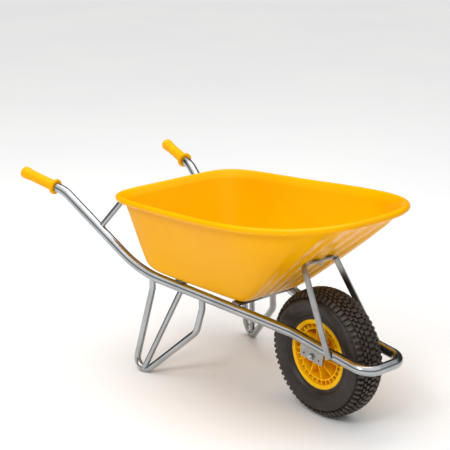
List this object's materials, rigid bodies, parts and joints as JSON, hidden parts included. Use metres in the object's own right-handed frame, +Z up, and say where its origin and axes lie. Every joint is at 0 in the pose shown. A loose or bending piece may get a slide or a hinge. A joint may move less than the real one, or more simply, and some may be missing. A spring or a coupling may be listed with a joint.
{
  "type": "wheelbarrow",
  "caption": "Builder's wheelbarrow with a deep moulded tray, a frame bent from one round tube, braced tube legs, hand grips and one pneumatic wheel.",
  "frame": {"origin": "on the floor, under the middle of the barrow's bounding box", "axes": "+X forward to the wheel, +Y to the barrow's left, +Z up"},
  "size_m": [1.4421, 0.6592, 0.6676],
  "materials": {
    "zinc_steel": "bright zinc plate, satin",
    "bright_fasteners": "zinc-plated",
    "yellow_tray": "soft gloss",
    "yellow_rim": "soft gloss",
    "yellow_grip": "soft matt",
    "black_tyre": "matt",
    "black_tube": "matt",
    "nylon_bush": "matt",
    "brass_valve": "satin"
  },
  "bodies": {
    "frame": {"frame_tube": "zinc_steel", "left_leg": "zinc_steel", "right_leg": "zinc_steel", "left_leg_brace": "zinc_steel", "right_leg_brace": "zinc_steel", "front_cross_bar": "zinc_steel", "rear_cross_bar": "zinc_steel", "left_tray_stay": "zinc_steel", "right_tray_stay": "zinc_steel", "front_bracket": "zinc_steel", "left_axle_plate": "zinc_steel", "right_axle_plate": "zinc_steel", "left_grip": "yellow_grip", "right_grip": "yellow_grip", "tray": "yellow_tray", "bracket_bolt": "bright_fasteners", "bracket_nut": "bright_fasteners", "floor_bolts": "bright_fasteners", "floor_nuts": "bright_fasteners", "axle_bolt": "bright_fasteners", "axle_nut": "bright_fasteners", "axle_sleeve": "bright_fasteners", "left_axle_spacer": "bright_fasteners", "right_axle_spacer": "bright_fasteners"},
    "wheel": {"wheel_rim": "yellow_rim", "tyre": "black_tyre", "inner_tube": "black_tube", "valve_stem": "brass_valve", "left_hub_bush": "nylon_bush", "right_hub_bush": "nylon_bush"}
  },
  "joints": [
    {"name": "wheel_spin", "type": "hinge", "parent": "frame", "child": "wheel", "pos_m": [0.462, 0, 0.2], "axis": [0, 1, 0], "continuous": true}
  ]
}
